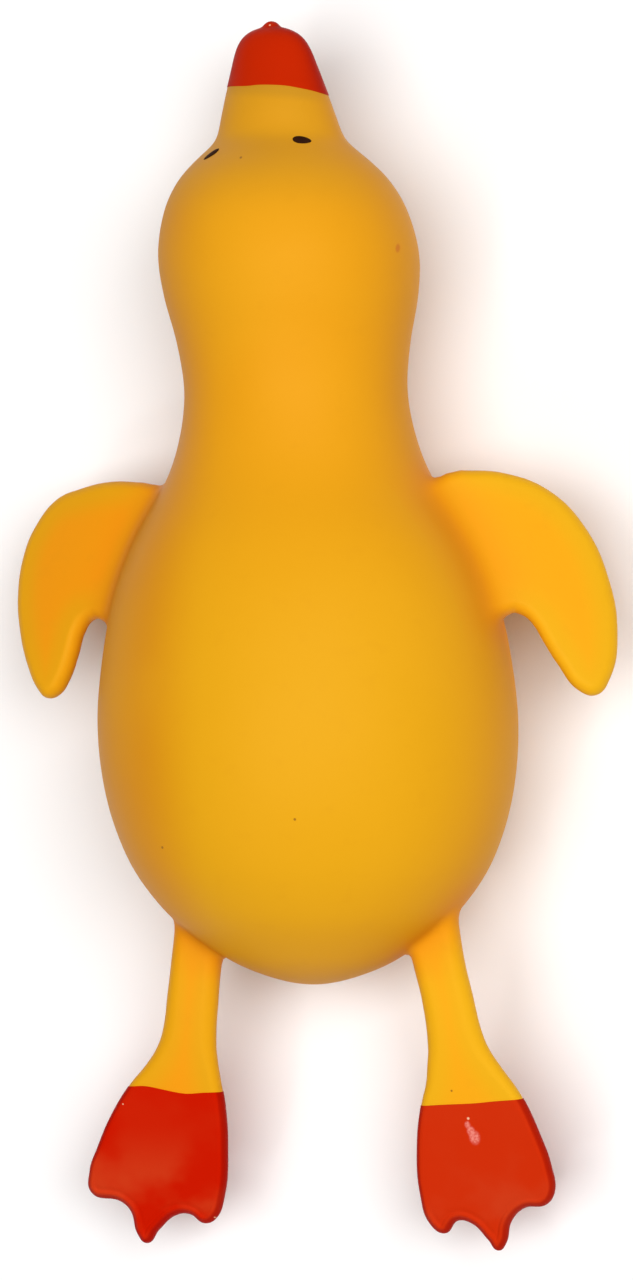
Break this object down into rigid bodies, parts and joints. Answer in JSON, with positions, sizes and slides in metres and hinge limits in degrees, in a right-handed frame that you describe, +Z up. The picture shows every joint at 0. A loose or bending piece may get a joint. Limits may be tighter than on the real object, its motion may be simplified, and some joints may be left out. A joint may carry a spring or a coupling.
{
  "type": "rubber chicken",
  "caption": "Soft hollow squeeze-toy bird lying on its belly, with flat wings and webbed feet that bend, a neck that nods, sways and turns, and a belly squeaker.",
  "frame": {"origin": "on the surface the toy lies on, under the middle of its overall box", "axes": "+Y from the toes to the bill, +X the bird's right, +Z up out of its back"},
  "size_m": [0.1054, 0.2096, 0.0571],
  "materials": {
    "yellow_rubber": "satin",
    "red_rubber": "satin",
    "eye_paint": "satin",
    "squeaker_plastic": "matte",
    "reed_film": "gloss"
  },
  "bodies": {
    "torso": {"torso_skin": "yellow_rubber", "back_flex": "yellow_rubber", "lower_neck_skin": "yellow_rubber", "squeaker_cup": "squeaker_plastic", "reed_bed": "squeaker_plastic", "reed_wedge": "squeaker_plastic"},
    "back": {"back_panel": "yellow_rubber"},
    "neck": {"neck_ring": "yellow_rubber", "upper_neck_skin": "yellow_rubber"},
    "throat": {"throat_ring": "yellow_rubber"},
    "head": {"head_skin": "yellow_rubber", "bill": "red_rubber", "left_eye": "eye_paint", "right_eye": "eye_paint"},
    "left_wing": {"left_wing": "yellow_rubber"},
    "right_wing": {"right_wing": "yellow_rubber"},
    "left_leg": {"left_leg": "yellow_rubber"},
    "left_ankle": {"left_ankle": "yellow_rubber"},
    "left_foot": {"left_foot": "red_rubber"},
    "right_leg": {"right_leg": "yellow_rubber"},
    "right_ankle": {"right_ankle": "yellow_rubber"},
    "right_foot": {"right_foot": "red_rubber"},
    "reed": {"reed": "reed_film"}
  },
  "joints": [
    {"name": "back_press", "type": "slide", "parent": "torso", "child": "back", "axis": [0, 0, -1], "range_m": [0, 0.006], "stiffness_N_per_m": 200, "deforming": ["back_flex"]},
    {"name": "neck_nod", "type": "hinge", "parent": "torso", "child": "neck", "pos_m": [-0.00223, 0.03707, 0.0264], "axis": [1, 0, 0], "range_deg": [-30, 30], "stiffness_Nm_per_rad": 0.5, "deforming": ["lower_neck_skin"]},
    {"name": "neck_sway", "type": "hinge", "parent": "neck", "child": "throat", "pos_m": [-0.00312, 0.05277, 0.0264], "axis": [0, 0, 1], "range_deg": [-25, 25], "stiffness_Nm_per_rad": 0.5, "deforming": ["upper_neck_skin"]},
    {"name": "neck_twist", "type": "hinge", "parent": "throat", "child": "head", "pos_m": [-0.0037, 0.06227, 0.0264], "axis": [0, 1, 0], "range_deg": [-35, 35], "stiffness_Nm_per_rad": 0.3},
    {"name": "left_wing_flap", "type": "hinge", "parent": "torso", "child": "left_wing", "pos_m": [-0.0345, 0.01407, 0.0264], "axis": [0.3972, 0.9178, 0], "range_deg": [-60, 85], "stiffness_Nm_per_rad": 0.01},
    {"name": "right_wing_flap", "type": "hinge", "parent": "torso", "child": "right_wing", "pos_m": [0.03197, 0.01507, 0.0264], "axis": [0.4289, -0.9033, 0], "range_deg": [-60, 85], "stiffness_Nm_per_rad": 0.01},
    {"name": "left_hip_bend", "type": "hinge", "parent": "torso", "child": "left_leg", "pos_m": [-0.02037, -0.05743, 0.0264], "axis": [-0.9848, 0.1736, 0], "range_deg": [-45, 45], "stiffness_Nm_per_rad": 0.02},
    {"name": "left_ankle_bend", "type": "hinge", "parent": "left_leg", "child": "left_ankle", "pos_m": [-0.02236, -0.06873, 0.0256], "axis": [-0.966, 0.2586, 0.0061], "range_deg": [-45, 45], "stiffness_Nm_per_rad": 0.012},
    {"name": "left_foot_bend", "type": "hinge", "parent": "left_ankle", "child": "left_foot", "pos_m": [-0.02499, -0.07853, 0.02381], "axis": [-0.9743, 0.2253, 0], "range_deg": [-50, 50], "stiffness_Nm_per_rad": 0.01},
    {"name": "right_hip_bend", "type": "hinge", "parent": "torso", "child": "right_leg", "pos_m": [0.02303, -0.05743, 0.0264], "axis": [-0.9848, -0.1736, 0], "range_deg": [-45, 45], "stiffness_Nm_per_rad": 0.02},
    {"name": "right_ankle_bend", "type": "hinge", "parent": "right_leg", "child": "right_ankle", "pos_m": [0.02503, -0.06873, 0.0256], "axis": [-0.9682, -0.2502, -0.0055], "range_deg": [-45, 45], "stiffness_Nm_per_rad": 0.012},
    {"name": "right_foot_bend", "type": "hinge", "parent": "right_ankle", "child": "right_foot", "pos_m": [0.02757, -0.07855, 0.02381], "axis": [-0.9941, -0.1065, 0.0202], "range_deg": [-50, 50], "stiffness_Nm_per_rad": 0.01},
    {"name": "reed_flutter", "type": "hinge", "parent": "torso", "child": "reed", "pos_m": [-0.00047, -0.01493, 0.0027], "axis": [1, 0, 0], "range_deg": [-4, 1.5], "stiffness_Nm_per_rad": 0.00003}
  ]
}
